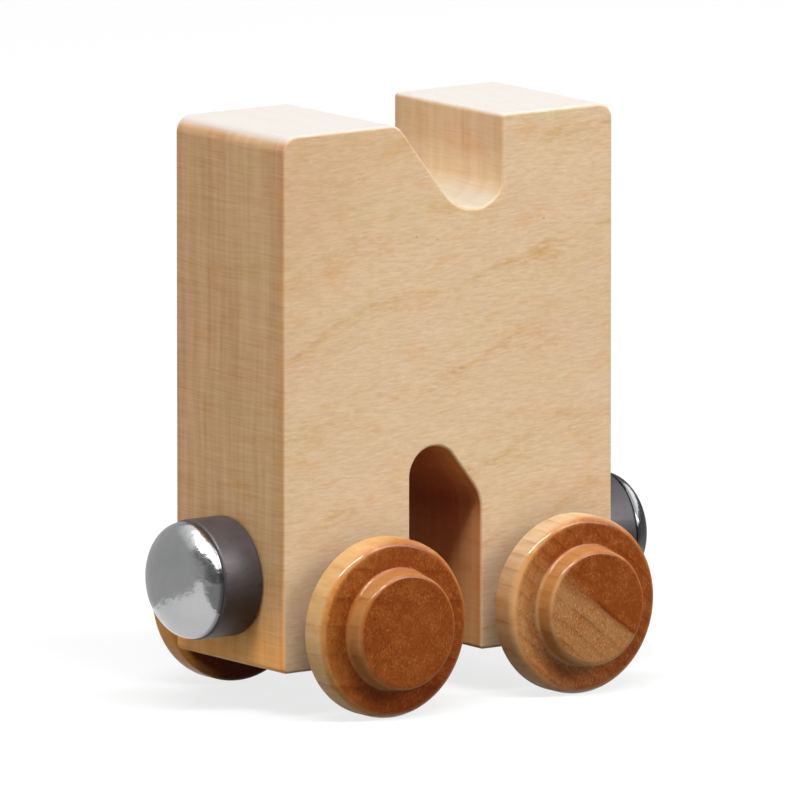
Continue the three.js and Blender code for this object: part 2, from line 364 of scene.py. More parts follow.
def domed_cap(node):
    """Pressed dome with a thin wall and an open rim."""
    low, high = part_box(node)
    foot, outwards = end_foot(node)
    radius = (high.z - low.z) / 2
    height = high.x - low.x
    bm = bmesh.new()
    inner_rim = dome_arc(bm, radius - CAP_WALL, height - CAP_WALL)
    outer_rim = dome_arc(bm, radius, height)
    bm.edges.new((inner_rim, outer_rim))
    return spun("pressed_" + node, bm, facing(foot, outwards), COUPLER_STEPS)


# Nodes

def new_tree(name):
    material = bpy.data.materials.new(name)
    material.use_nodes = True
    tree = material.node_tree
    tree.nodes.clear()
    surface = tree.nodes.new("ShaderNodeBsdfPrincipled")
    output = tree.nodes.new("ShaderNodeOutputMaterial")
    tree.links.new(surface.outputs["BSDF"], output.inputs["Surface"])
    return material, tree, surface


def feed(tree, socket, value):
    if isinstance(value, bpy.types.NodeSocket):
        tree.links.new(value, socket)
    else:
        socket.default_value = value


def maths(tree, operation, first, second=0.0):
    step = tree.nodes.new("ShaderNodeMath")
    step.operation = operation
    feed(tree, step.inputs[0], first)
    feed(tree, step.inputs[1], second)
    return step.outputs[0]


def product(tree, first, *others):
    for other in others:
        first = maths(tree, "MULTIPLY", first, other)
    return first


def less(tree, first, second):
    return maths(tree, "SUBTRACT", first, second)


def rest_of(tree, share):
    return less(tree, 1.0, share)


def unsigned(tree, value):
    return maths(tree, "ABSOLUTE", value)


def vectors(tree, operation, first, second):
    step = tree.nodes.new("ShaderNodeVectorMath")
    step.operation = operation
    feed(tree, step.inputs[0], first)
    feed(tree, step.inputs[1], second)
    return step.outputs["Value" if operation == "DOT_PRODUCT" else "Vector"]


def scaled(tree, vector, factor):
    step = tree.nodes.new("ShaderNodeVectorMath")
    step.operation = "SCALE"
    feed(tree, step.inputs[0], vector)
    feed(tree, step.inputs["Scale"], factor)
    return step.outputs["Vector"]


def axes(tree, vector):
    step = tree.nodes.new("ShaderNodeSeparateXYZ")
    feed(tree, step.inputs[0], vector)
    return step.outputs


def stretch(tree, value, low, high, to_low=0.0, to_high=1.0, smooth=False):
    step = tree.nodes.new("ShaderNodeMapRange")
    step.interpolation_type = "SMOOTHSTEP" if smooth else "LINEAR"
    feed(tree, step.inputs["Value"], value)
    feed(tree, step.inputs["From Min"], low)
    feed(tree, step.inputs["From Max"], high)
    feed(tree, step.inputs["To Min"], to_low)
    feed(tree, step.inputs["To Max"], to_high)
    return step.outputs["Result"]


def noise(tree, vector, detail, roughness, output="Fac"):
    step = tree.nodes.new("ShaderNodeTexNoise")
    feed(tree, step.inputs["Vector"], vector)
    step.inputs["Scale"].default_value = 1.0
    step.inputs["Detail"].default_value = detail
    step.inputs["Roughness"].default_value = roughness
    return step.outputs[output]


def noise_mask(tree, vector, detail, roughness, shown):
    """Mask from a noise: none where the noise is at the first value shown, full at the second."""
    return stretch(tree, noise(tree, vector, detail, roughness), *shown)


def blended(tree, share, first, second, mode="MIX"):
    step = tree.nodes.new("ShaderNodeMix")
    step.data_type = "RGBA"
    step.blend_type = mode
    feed(tree, step.inputs[0], share)
    feed(tree, step.inputs[6], first)
    feed(tree, step.inputs[7], second)
    return step.outputs[2]


def tinted(tree, share, colour, tone):
    return blended(tree, share, colour, tone, "MULTIPLY")


def opaque(red, green, blue):
    return (red, green, blue, 1.0)


def grey(level):
    return opaque(level, level, level)


def group_of(name, inputs, masks):
    """Empty node group with its sockets, and its input and output nodes."""
    group = bpy.data.node_groups.new(name, "ShaderNodeTree")
    for socket, kind in inputs.items():
        group.interface.new_socket(name=socket, in_out="INPUT", socket_type=kind)
    for socket in masks:
        group.interface.new_socket(name=socket, in_out="OUTPUT", socket_type=FLOAT)
    entry = group.nodes.new("NodeGroupInput")
    leave = group.nodes.new("NodeGroupOutput")
    return group, entry.outputs, leave.inputs


def marks(tree, group, point, sizes):
    """Masks that a node group gives at a point, for marks of these sizes."""
    step = tree.nodes.new("ShaderNodeGroup")
    step.node_tree = group
    feed(tree, step.inputs["Point"], point)
    for size, value in sizes.items():
        step.inputs[size].default_value = value
    return step.outputs


def in_millimetres(tree, centre=(0, 0, 0), turn=(0, 0, 0), shift=(0, 0, 0)):
    """Object coordinates in millimetres from a centre, turned to the grain's axes and shifted."""
    where = tree.nodes.new("ShaderNodeTexCoord")
    from_centre = vectors(tree, "SUBTRACT", where.outputs["Object"], centre)
    placed = tree.nodes.new("ShaderNodeMapping")
    feed(tree, placed.inputs["Vector"], from_centre)
    placed.inputs["Location"].default_value = shift
    placed.inputs["Rotation"].default_value = turn
    placed.inputs["Scale"].default_value = (1 / MM, 1 / MM, 1 / MM)
    return placed.outputs["Vector"], where.outputs["Normal"]


def lay(tree, surface, colour, rough):
    tree.links.new(colour, surface.inputs["Base Color"])
    tree.links.new(rough, surface.inputs["Roughness"])


def bumped(tree, surface, height, strength, distance):
    step = tree.nodes.new("ShaderNodeBump")
    step.inputs["Strength"].default_value = strength
    step.inputs["Distance"].default_value = distance
    feed(tree, step.inputs["Height"], height)
    tree.links.new(step.outputs["Normal"], surface.inputs["Normal"])


# Wood grain, in millimetres: the fibres run along X and the rings stack along a lean.
# A rate is how often a mark repeats in a millimetre. A noise is its detail, its roughness and
# the values between which it shows.

FLOAT = "NodeSocketFloat"
VECTOR = "NodeSocketVector"
GRAIN_SIZES = {
    "Point": VECTOR,
    "Fleck Size": VECTOR,
    "Ring Lean": VECTOR,
    "Ring Width": FLOAT,
    "Ring Break": FLOAT,
    "Waviness": FLOAT,
}
SWAY_RATE = (0.06, 0.1, 0.1)
SWAY_NOISE = (1.0, 0.5, "Color")
SWAY_MIDDLE = (0.5, 0.5, 0.5)
CALM_SWAY = 0.3
FLECK_NOISE = (2.0, 0.6, (0.28, 0.72))
STREAK_RATE = (0.03, 0.9, 0.05)
STREAK_NOISE = (3.0, 0.6, (0.28, 0.72))
LATE_WOOD_POWER = 6.0
EARLY_WOOD_SHARE = 0.07
RING_BREAK_RATE = (0.11, 0.25, 0.25)
RING_BREAK_NOISE = (3.0, 0.6)
RING_BREAK_SHOWN = (0.42, 0.66)
RING_FRAY = (0.0, 0.8, 0.4, 1.0)
OTHER_MARKS = {
    "Pores": ((0.22, 4.4, 4.4), (2.0, 0.6, (0.3, 0.7))),
    "Fibre Ends": ((0.3, 5.0, 3.6), (3.0, 0.65, (0.28, 0.72))),
    "Mottle": ((0.15, 0.75, 0.75), (3.0, 0.6, (0.3, 0.7))),
    "Clouds": ((0.07, 0.1, 0.13), (3.0, 0.55, (0.3, 0.7))),
    "Stains": ((0.2, 0.2, 0.42), (4.0, 0.65, (0.52, 0.76))),
    "Specks": ((1.1, 2.4, 2.4), (1.0, 0.5, (0.80, 0.85))),
}


def wood_grain_group():
    masks = ["Flecks", "Streaks", "Rings", "Across", *OTHER_MARKS]
    group, given, result = group_of("wood_grain", GRAIN_SIZES, masks)
    slow = vectors(group, "MULTIPLY", given["Point"], SWAY_RATE)
    sway = vectors(group, "SUBTRACT", noise(group, slow, *SWAY_NOISE), SWAY_MIDDLE)
    sway = scaled(group, sway, given["Waviness"])
    point = vectors(group, "ADD", given["Point"], sway)
    calm = vectors(group, "ADD", given["Point"], scaled(group, sway, CALM_SWAY))

    fleck_point = vectors(group, "DIVIDE", calm, given["Fleck Size"])
    flecks = noise_mask(group, fleck_point, *FLECK_NOISE)
    feed(group, result["Flecks"], flecks)
    streak_point = vectors(group, "MULTIPLY", calm, STREAK_RATE)
    feed(group, result["Streaks"], noise_mask(group, streak_point, *STREAK_NOISE))

    across = vectors(group, "DOT_PRODUCT", point, given["Ring Lean"])
    feed(group, result["Across"], across)
    share = maths(group, "FRACT", maths(group, "DIVIDE", across, given["Ring Width"]))
    late = maths(group, "POWER", share, LATE_WOOD_POWER)
    early = stretch(group, share, 0.0, EARLY_WOOD_SHARE, 1.0, 0.0)
    break_point = vectors(group, "MULTIPLY", point, RING_BREAK_RATE)
    whole = rest_of(group, given["Ring Break"])
    breaks = noise(group, break_point, *RING_BREAK_NOISE)
    broken = stretch(group, breaks, *RING_BREAK_SHOWN, whole, 1.0)
    frayed = product(group, broken, stretch(group, flecks, *RING_FRAY))
    feed(group, result["Rings"], product(group, maths(group, "MAXIMUM", late, early), frayed))

    for mark, (rate, mark_noise) in OTHER_MARKS.items():
        mark_point = vectors(group, "MULTIPLY", point, rate)
        feed(group, result[mark], noise_mask(group, mark_point, *mark_noise))
    return group


WOOD_SPECULAR = 0.06
RELIEF_DEPTH = 0.03 * MM


# Maple. The first two tones are the wood's own, and each other one multiplies them where its
# mark is, apart from the painted top light, which covers them. Some of the others are painted light
# and shade: the glow low on the ends, the notch wall's lighter foot and darker heel, and the slot's
# shade.

MAPLE_ROSE = opaque(0.775, 0.560, 0.390)
MAPLE_CREAM = opaque(0.740, 0.575, 0.362)
MAPLE_FLECK = opaque(0.86, 0.80, 0.73)
MAPLE_STREAK = opaque(0.93, 0.90, 0.87)
MAPLE_STAIN = opaque(0.98, 0.86, 0.70)
MAPLE_RING = opaque(0.90, 0.78, 0.60)
MAPLE_SPECK = opaque(0.66, 0.50, 0.38)
TOP_LEFT_DARKER = opaque(0.95, 0.90, 0.84)
END_STREAK = opaque(0.87, 0.81, 0.78)
SAWN_END = opaque(1.03, 0.91, 0.76)
PAINTED_FOOT_GLOW = opaque(1.50, 1.20, 0.72)
CUT_WALL = opaque(1.00, 0.97, 0.92)
NOTCH_WALL_PAINTED_LIGHT = opaque(1.13, 1.21, 1.26)
NOTCH_WALL_PAINTED_SHADE = opaque(0.82, 0.80, 0.78)
BOARD_EDGE = opaque(0.97, 0.87, 0.78)
TOP_PAINTED_LIGHT = opaque(0.665, 0.648, 0.633)
NOTCH_FLOOR = opaque(0.87, 0.94, 0.95)
SLOT_LIGHT_SHADE = opaque(0.97, 0.71, 0.48)
SLOT_DEEP_SHADE = opaque(0.55, 0.24, 0.16)
SLOT_CROWN_SHADE_LIFT = opaque(1.55, 1.75, 1.30)

# Where each mark starts and where it is full, in millimetres from the ends, the top left corner,
# the foot, the top, the board's faces or the slot's walls
END_BAND = (4, 2)
TOP_LEFT_DARKER_BAND = (34.0, 10.0)
PAINTED_FOOT_GLOW_BAND = (9.0, 1.5)
NOTCH_BAND = (12.0, 10.0)
NOTCH_WALL_PAINTED_LIGHT_BAND = (3.0, 7.0)
NOTCH_WALL_PAINTED_SHADE_BAND = (6.8, 7.8)
NOTCH_FLOOR_BAND = (1.5, 5.0)
BOARD_EDGE_BAND = (1.3, 0.3)
SLOT_BAND = (0.8, 0.4)
SLOT_SHADE_BAND = (5.0, 15.0)
SLOT_EDGE_SHADE_BAND = (12.5, 15.5)
SLOT_SHADE_DEPTH_BAND = (0.8, 4.5)
CROWN_BAND = (15.0, 19.0)

# How squarely a face has to look to the ends, upwards, or along the slot
END_FACING = (0.35, 0.85)
UP_FACING = (0.35, 0.95)
SLOT_FACING = (0.85, 0.25)

# Strength of the marks on the cut walls and the ends, of the painted top light on the top and in
# the notch, and of the slot's painted shade at its edges, low and high
CUT_WALL_FLECKS = 0.6
CUT_WALL_STREAKS = 0.35
END_RINGS = 0.2
TOP_PAINTED_LIGHT_SHARES = (0.85, 0.38)
SLOT_EDGE_SHADE = (0.25, 0.80)

BOARD_TILT = math.radians(2)
MAPLE_GRAIN = {
    "Fleck Size": (1.2, 6.0, 0.21),
    "Ring Lean": (-0.07, 1.0, 0.28),
    "Ring Width": 2.6,
    "Ring Break": 1.0,
    "Waviness": 3.0,
}
MAPLE_ROUGH = (0.38, 0.50)
SLOT_SHADE_ROUGH = 0.95
PORE_RELIEF = 0.10


def slot_painted_shade_mask(tree, x, z, facing_y):
    """Mask of the slot's inner faces, where painted shade darkens the wood."""
    middle = (BOARD_MIDDLE_X + (SLOT_LEFT_X + SLOT_RIGHT_X) / 2) / MM
    half = SLOT_WIDTH / 2 / MM
    top = (BOARD_LOW.z + (SLOT_SHOULDER_HEIGHT + SLOT_CROWN_CORNER) / 2) / MM
    start, full = SLOT_BAND
    between = stretch(tree, unsigned(tree, less(tree, x, middle)), half + start, half + full)
    below = stretch(tree, z, top + start, top + full)
    inner = stretch(tree, unsigned(tree, facing_y), *SLOT_FACING, smooth=True)
    return product(tree, between, below, inner)


def maple(group):
    """Pale maple with a thin clear finish: flat-sawn faces, end grain on the car's ends."""
    material, tree, surface = new_tree("maple")
    point, normal = in_millimetres(tree, turn=(0, BOARD_TILT, 0))
    seen = marks(tree, group, point, MAPLE_GRAIN)
    facing_x, facing_y, facing_z = axes(tree, normal)
    x, y, z = axes(tree, in_millimetres(tree)[0])
    from_left = less(tree, x, BOARD_LOW.x / MM)
    from_middle = unsigned(tree, less(tree, x, BOARD_MIDDLE_X / MM))
    from_face = less(tree, BOARD_HIGH.y / MM, unsigned(tree, y))
    below_top = less(tree, BOARD_HIGH.z / MM, z)
    above_foot = less(tree, z, BOARD_LOW.z / MM)

    end_grain = stretch(tree, unsigned(tree, facing_x), *END_FACING, smooth=True)
    end_start, end_full = (BOARD_HALF_WIDTH / MM - reach for reach in END_BAND)
    outer = stretch(tree, from_middle, end_start, end_full)
    sawn_end = product(tree, end_grain, outer)
    cut_wall = less(tree, end_grain, sawn_end)
    long_grain = rest_of(tree, end_grain)

    # Grain
    colour = blended(tree, seen["Clouds"], MAPLE_ROSE, MAPLE_CREAM)
    flecks = product(tree, seen["Flecks"], stretch(tree, cut_wall, 0, 1, 1.0, CUT_WALL_FLECKS))
    colour = tinted(tree, flecks, colour, MAPLE_FLECK)
    colour = tinted(tree, seen["Streaks"], colour, MAPLE_STREAK)
    colour = tinted(tree, seen["Stains"], colour, MAPLE_STAIN)
    # Darker and yellower towards the top left corner
    from_corner = maths(tree, "ADD", from_left, below_top)
    top_left_darker = product(tree, stretch(tree, from_corner, *TOP_LEFT_DARKER_BAND, smooth=True), long_grain)
    colour = tinted(tree, top_left_darker, colour, TOP_LEFT_DARKER)
    streak_share = stretch(tree, outer, 0, 1, CUT_WALL_STREAKS, 1.0)
    end_streaks = product(tree, seen["Streaks"], streak_share, end_grain)
    colour = tinted(tree, end_streaks, colour, END_STREAK)
    rings = product(tree, seen["Rings"], stretch(tree, end_grain, 0, 1, 1.0, END_RINGS))
    colour = tinted(tree, rings, colour, MAPLE_RING)
    colour = tinted(tree, seen["Specks"], colour, MAPLE_SPECK)

    # Sawn ends, with a painted warm glow low on them, and the walls and floor of the notch, with
    # painted light and shade on its wall
    colour = tinted(tree, sawn_end, colour, SAWN_END)
    # Painted light: a warm glow painted low on the sawn ends
    painted_foot_glow = product(tree, sawn_end, stretch(tree, above_foot, *PAINTED_FOOT_GLOW_BAND))
    colour = tinted(tree, painted_foot_glow, colour, PAINTED_FOOT_GLOW)
    colour = tinted(tree, cut_wall, colour, CUT_WALL)
    notch_wall = product(tree, cut_wall, stretch(tree, below_top, *NOTCH_BAND))
    # Painted light: the notch wall is lighter towards its foot
    wall_painted_light = stretch(tree, below_top, *NOTCH_WALL_PAINTED_LIGHT_BAND, smooth=True)
    colour = tinted(tree, product(tree, notch_wall, wall_painted_light), colour, NOTCH_WALL_PAINTED_LIGHT)
    # Painted shade: darker in the crease where the notch wall turns into its floor
    wall_painted_shade = stretch(tree, below_top, *NOTCH_WALL_PAINTED_SHADE_BAND, smooth=True)
    colour = tinted(tree, product(tree, notch_wall, wall_painted_shade), colour, NOTCH_WALL_PAINTED_SHADE)
    board_edge = product(tree, stretch(tree, from_face, *BOARD_EDGE_BAND), end_grain)
    colour = tinted(tree, board_edge, colour, BOARD_EDGE)
    # Painted top light: up-facing faces take a paler tone, mostly on the top and less in the notch
    upward = stretch(tree, facing_z, *UP_FACING, smooth=True)
    top_painted_light_share = product(tree, upward, stretch(tree, below_top, *NOTCH_FLOOR_BAND, *TOP_PAINTED_LIGHT_SHARES))
    colour = blended(tree, top_painted_light_share, colour, TOP_PAINTED_LIGHT)
    notch_floor = product(tree, upward, stretch(tree, below_top, *NOTCH_FLOOR_BAND))
    colour = tinted(tree, notch_floor, colour, NOTCH_FLOOR)

    # Slot: painted shade, deepest high up and away from the face, lighter again at the crown
    slot_shade = slot_painted_shade_mask(tree, x, z, facing_y)
    edge_shade = stretch(tree, above_foot, *SLOT_EDGE_SHADE_BAND, *SLOT_EDGE_SHADE)
    deep_shade = stretch(tree, from_face, *SLOT_SHADE_DEPTH_BAND, edge_shade, 1.0)
    shade_share = product(tree, stretch(tree, above_foot, *SLOT_SHADE_BAND), deep_shade)
    colour = tinted(tree, slot_shade, colour, blended(tree, shade_share, SLOT_LIGHT_SHADE, SLOT_DEEP_SHADE))
    crown = product(tree, slot_shade, stretch(tree, above_foot, *CROWN_BAND))
    colour = tinted(tree, crown, colour, SLOT_CROWN_SHADE_LIFT)

    rough = stretch(tree, seen["Flecks"], 0, 1, *MAPLE_ROUGH)
    rough = maths(tree, "MAXIMUM", rough, product(tree, slot_shade, SLOT_SHADE_ROUGH))
    lay(tree, surface, colour, rough)
    surface.inputs["Specular IOR Level"].default_value = WOOD_SPECULAR
    bumped(tree, surface, seen["Pores"], PORE_RELIEF, RELIEF_DEPTH)
    return material


# Lacquered wheels. The dark face, the pale boss and flange and the glow are the wood's own tones;
# the light specks are painted glints and the rims' tones are partly painted light. Each other tone
# multiplies them where its mark is; those low on the flange and on the inner faces are painted
# shade.

DARK_FACE = opaque(0.254, 0.060, 0.0085)
PALE_BOSS = opaque(0.43, 0.215, 0.082)
PALE_FLANGE = opaque(0.45, 0.185, 0.062)
FACE_GLOW = opaque(0.34, 0.095, 0.016)
DARK_PAINTED_GLINT = opaque(0.50, 0.23, 0.080)
PALE_PAINTED_GLINT = opaque(0.66, 0.44, 0.24)
BOSS_RIM = opaque(0.50, 0.235, 0.080)
TAN_RIM = opaque(0.71, 0.45, 0.21)
SAND_RIM = opaque(0.78, 0.50, 0.235)
# Pale top of a rim: partly a painted highlight
PALE_RIM_AND_HIGHLIGHT = opaque(0.69, 0.515, 0.335)
BROWN_RIM = opaque(0.59, 0.335, 0.16)
# Bright orange low rim of the back wheel: partly painted bounce light
ORANGE_RIM_AND_BOUNCE = opaque(0.96, 0.45, 0.085)
FACE_CLOUD = opaque(0.88, 0.80, 0.70)
LEFT_RIM_LIGHTER = opaque(1.25, 1.55, 1.80)
LOW_FLANGE_PAINTED_SHADE = opaque(1.00, 0.78, 0.70)
FIBRE_PIT = opaque(0.58, 0.46, 0.38)
FACE_RING = opaque(0.60, 0.46, 0.36)
PALE_EDGE_LINE = opaque(0.62, 0.46, 0.34)
INNER_FACE_PAINTED_SHADE = opaque(0.60, 0.42, 0.30)
RIM_MOTTLE = opaque(0.92, 0.84, 0.72)
RIM_FLECK = opaque(0.90, 0.84, 0.78)
RIM_RING = opaque(0.72, 0.56, 0.44)
DARK_SHOULDER = opaque(1.6, 2.2, 2.8)
PALE_SHOULDER = opaque(1.25, 1.40, 1.55)

# Where each mark starts and where it is full, in millimetres from the boss, the edge of the pale
# wood, the wheel's middle or its rim
FLANGE_BAND = (0.2, 1.4)
FADE_BAND = (2.0, -7.0)
BLUR_BAND = (-3.0, 0.5)
LEFT_BAND = (2.0, -6.0)
LOW_FLANGE_PAINTED_SHADE_BAND = (-3.0, -6.5)
RIM_TONE_AND_LIGHT_BAND = (1.0, 7.0)
SHADED_INNER_BAND = (-6.0, -2.0)
LEFT_RIM_LIGHTER_BAND = (3.2, 1.2)
INNER_EDGE_BAND = (1.1, 0.3)

# Half width of the soft edge of the pale wood at the left and the right of the blur, and the dark
# line along that edge
EDGE_BLUR = (1.1, 0.25)
EDGE_LINE_OFFSET = 0.2
EDGE_LINE_WIDTH = 0.4
EDGE_LINE_STRENGTH = (0.25, 1.0)

# Range of a mark and its strength over that range
GLOW = (0.45, 1.0, 0.0, 0.55)
PAINTED_GLINT_RANGE = (0.58, 0.98, 0.0, 0.7)
PAINTED_GLINT_PATCHES = (0.1, 0.7, 0.35, 1.0)
PAINTED_GLINTS_ON_PALE = (0, 1, 0.7, 1.0)
FIBRE_PITS = (0.42, 0.02, 0.0, 0.85)
RINGS_ON_PALE = (0, 1, 0.3, 1.0)

# How squarely a surface has to look inwards or along the axle, with the lacquer's gloss
INNER_FACING = (0.05, 0.40)
INNER_EDGE_FACING = (0.0, 0.3)
SHOULDER_FACING = (0.998, 0.80)
SIDE_FACING = (0.85, 0.10)
EDGE_GLOSS = (0.995, 0.90, 0.05, 0.50)
SIDE_GLOSS = (0.0, 0.50, 0.06, 0.50)
INNER_GLOSS = (-0.05, 0.15, 1.0, 0.1)
LACQUER_ROUGH = (0.26, 0.40)
COAT_ROUGH = 0.08
FIBRE_RELIEF = 0.35

WHEEL_GRAIN = {"Fleck Size": (2.5, 5.0, 0.4), "Ring Break": 0.45, "Waviness": 1.6}
ALONG_AXLE = (0, 0, math.radians(90))

# Each wheel's own stretch of the dowel, the lean and width of its rings, where its pale wood ends
# and how much paler that is, and the tones of its rim below and above, which are partly painted
# light
WheelWood = namedtuple(
    "WheelWood",
    ("dowel", "ring_lean", "ring_width", "pale_edge", "pale_share", "rim_low", "rim_high"),
)
NO_PALE_WOOD = (-20, 0.0)
WHEEL_WOOD = {
    "left_wheel_face_side": WheelWood(40, (0, 0.12, 1.0), 3.1, *NO_PALE_WOOD, SAND_RIM, TAN_RIM),
    "left_wheel_back_side": WheelWood(90, (0, 0.8, 0.6), 2.8, *NO_PALE_WOOD, ORANGE_RIM_AND_BOUNCE, TAN_RIM),
    "right_wheel_face_side": WheelWood(140, (0, 0.64, 0.77), 1.7, 0.2, 0.85, BROWN_RIM, PALE_RIM_AND_HIGHLIGHT),
    "right_wheel_back_side": WheelWood(190, (0, -0.5, 0.87), 2.2, 1.5, 0.6, BROWN_RIM, TAN_RIM),
}

WheelPlace = namedtuple("WheelPlace", ("right", "up", "radius", "flange", "inwards", "endwise"))


def wheel_place(tree, point, normal, inner_side):
    """Where a wheel's surface lies, in millimetres from its middle, and how it faces."""
    right, up = axes(tree, point)[1:]
    squares = maths(tree, "ADD", product(tree, right, right), product(tree, up, up))
    radius = maths(tree, "SQRT", squares)
    flange = stretch(tree, radius, *(BOSS_RADIUS / MM + reach for reach in FLANGE_BAND))
    facing_y = axes(tree, normal)[1]
    inwards = product(tree, facing_y, inner_side)
    return WheelPlace(right, up, radius, flange, inwards, unsigned(tree, facing_y))


def wheel_face(tree, seen, place, wood, rim_radius):
    """End grain of the faces: the share of pale wood, the even face, the face with its marks."""
    across = seen["Across"]
    blur = stretch(tree, place.right, *BLUR_BAND, *EDGE_BLUR)
    dark_end = maths(tree, "ADD", blur, wood.pale_edge)
    pale_end = less(tree, wood.pale_edge, blur)
    crisp = stretch(tree, across, dark_end, pale_end, 0.0, wood.pale_share)
    fade_start, fade_end = (wood.pale_edge + reach for reach in FADE_BAND)
    faded = stretch(tree, across, fade_start, fade_end, 0.0, wood.pale_share)
    pale_side = stretch(tree, place.flange, 0.0, 1.0, crisp, faded)

    face = blended(tree, place.flange, PALE_BOSS, PALE_FLANGE)
    face = blended(tree, pale_side, DARK_FACE, face)
    face = tinted(tree, seen["Clouds"], face, FACE_CLOUD)
    face = blended(tree, stretch(tree, seen["Mottle"], *GLOW), face, FACE_GLOW)
    # Lighter towards the left, near the rim
    at_left = stretch(tree, place.right, *LEFT_BAND, smooth=True)
    lighter_start, lighter_full = (rim_radius - reach for reach in LEFT_RIM_LIGHTER_BAND)
    at_rim = stretch(tree, place.radius, lighter_start, lighter_full, smooth=True)
    even_face = tinted(tree, product(tree, at_left, at_rim), face, LEFT_RIM_LIGHTER)

    # Painted shade: the flange is darker low down, below the boss
    painted_low_shade = stretch(tree, place.up, *LOW_FLANGE_PAINTED_SHADE_BAND, smooth=True)
    face = tinted(tree, product(tree, place.flange, painted_low_shade), even_face, LOW_FLANGE_PAINTED_SHADE)
    # Painted glints: light specks on the face stand in for the lacquer's glints
    painted_glints = product(
        tree,
        stretch(tree, seen["Fibre Ends"], *PAINTED_GLINT_RANGE),
        stretch(tree, seen["Mottle"], *PAINTED_GLINT_PATCHES),
        stretch(tree, pale_side, *PAINTED_GLINTS_ON_PALE),
    )
    face = blended(tree, painted_glints, face, blended(tree, pale_side, DARK_PAINTED_GLINT, PALE_PAINTED_GLINT))
    face = tinted(tree, stretch(tree, seen["Fibre Ends"], *FIBRE_PITS), face, FIBRE_PIT)
    ring_share = stretch(tree, maths(tree, "MAXIMUM", place.flange, pale_side), *RINGS_ON_PALE)
    face = tinted(tree, product(tree, seen["Rings"], ring_share), face, FACE_RING)
    off_line = unsigned(tree, less(tree, across, wood.pale_edge + EDGE_LINE_OFFSET))
    edge_line = product(
        tree,
        stretch(tree, off_line, EDGE_LINE_WIDTH, 0.0, 0.0, wood.pale_share, smooth=True),
        stretch(tree, place.right, *BLUR_BAND, *EDGE_LINE_STRENGTH),
        rest_of(tree, place.flange),
    )
    return pale_side, even_face, tinted(tree, edge_line, face, PALE_EDGE_LINE)


def wheel_rim(tree, seen, place, wood):
    """Long grain around the boss and the flange; its tones below and above are partly painted
    light.
    """
    rim = blended(tree, stretch(tree, place.up, *RIM_TONE_AND_LIGHT_BAND), wood.rim_low, wood.rim_high)
    rim = blended(tree, place.flange, BOSS_RIM, rim)
    rim = tinted(tree, seen["Mottle"], rim, RIM_MOTTLE)
    rim = tinted(tree, seen["Flecks"], rim, RIM_FLECK)
    return tinted(tree, seen["Rings"], rim, RIM_RING)


def lacquered_wheel(node, group, wood):
    """Orange-brown hardwood under clear lacquer: end grain on the faces, long grain on the rims."""
    low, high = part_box(node)
    centre = (low + high) / 2
    rim_radius = (high.z - low.z) / 2 / MM
    material, tree, surface = new_tree("lacquered_" + node)
    point, normal = in_millimetres(tree, centre, ALONG_AXLE, shift=(wood.dowel, 0, 0))
    ring_sizes = {"Ring Lean": wood.ring_lean, "Ring Width": wood.ring_width}
    seen = marks(tree, group, point, {**WHEEL_GRAIN, **ring_sizes})
    place = wheel_place(tree, point, normal, -1.0 if centre.y > 0 else 1.0)
    pale_side, even_face, face = wheel_face(tree, seen, place, wood, rim_radius)
    # Painted shade: the faces that look at the board are darker, and on their right part the
    # shoulders and sides keep that shade
    inner_painted_shade = stretch(tree, place.inwards, *INNER_FACING)
    face = tinted(tree, inner_painted_shade, face, INNER_FACE_PAINTED_SHADE)

    shaded_inner = product(tree, inner_painted_shade, stretch(tree, place.right, *SHADED_INNER_BAND))
    edges = rest_of(tree, shaded_inner)
    shoulder = stretch(tree, place.endwise, *SHOULDER_FACING, smooth=True)
    rub = blended(tree, pale_side, DARK_SHOULDER, PALE_SHOULDER)
    rubbed = tinted(tree, 1.0, even_face, rub)
    colour = blended(tree, product(tree, edges, shoulder), face, rubbed)
    side = stretch(tree, place.endwise, *SIDE_FACING, smooth=True)
    edge_start, edge_full = (rim_radius - reach for reach in INNER_EDGE_BAND)
    inner_edge = stretch(tree, place.radius, edge_start, edge_full, smooth=True)
    inner_edge = product(tree, inner_edge, stretch(tree, place.inwards, *INNER_EDGE_FACING))
    side = product(tree, edges, maths(tree, "MAXIMUM", side, inner_edge))
    colour = blended(tree, side, colour, wheel_rim(tree, seen, place, wood))

    lay(tree, surface, colour, stretch(tree, seen["Pores"], 0, 1, *LACQUER_ROUGH))
    edge_gloss = stretch(tree, place.endwise, *EDGE_GLOSS)
    side_gloss = stretch(tree, place.endwise, *SIDE_GLOSS)
    gloss = maths(tree, "MINIMUM", edge_gloss, side_gloss)
    gloss = product(tree, gloss, stretch(tree, place.inwards, *INNER_GLOSS))
    tree.links.new(gloss, surface.inputs["Coat Weight"])
    surface.inputs["Specular IOR Level"].default_value = WOOD_SPECULAR
    surface.inputs["Coat Roughness"].default_value = COAT_ROUGH
    bumped(tree, surface, seen["Fibre Ends"], FIBRE_RELIEF, RELIEF_DEPTH)
    return material


# Metal and ferrite, in millimetres

METAL_SIZES = {"Point": VECTOR, "Scuff Size": VECTOR}
METAL_CLOUD_RATE = (0.35, 0.35, 0.35)
METAL_CLOUD_NOISE = (3.0, 0.55, (0.3, 0.7))
SCUFF_NOISE = (2.0, 0.6, (0.3, 0.7))
METAL_PIT_RATE = (2.2, 2.2, 2.2)
METAL_PIT_NOISE = (1.0, 0.5, (0.68, 0.78))

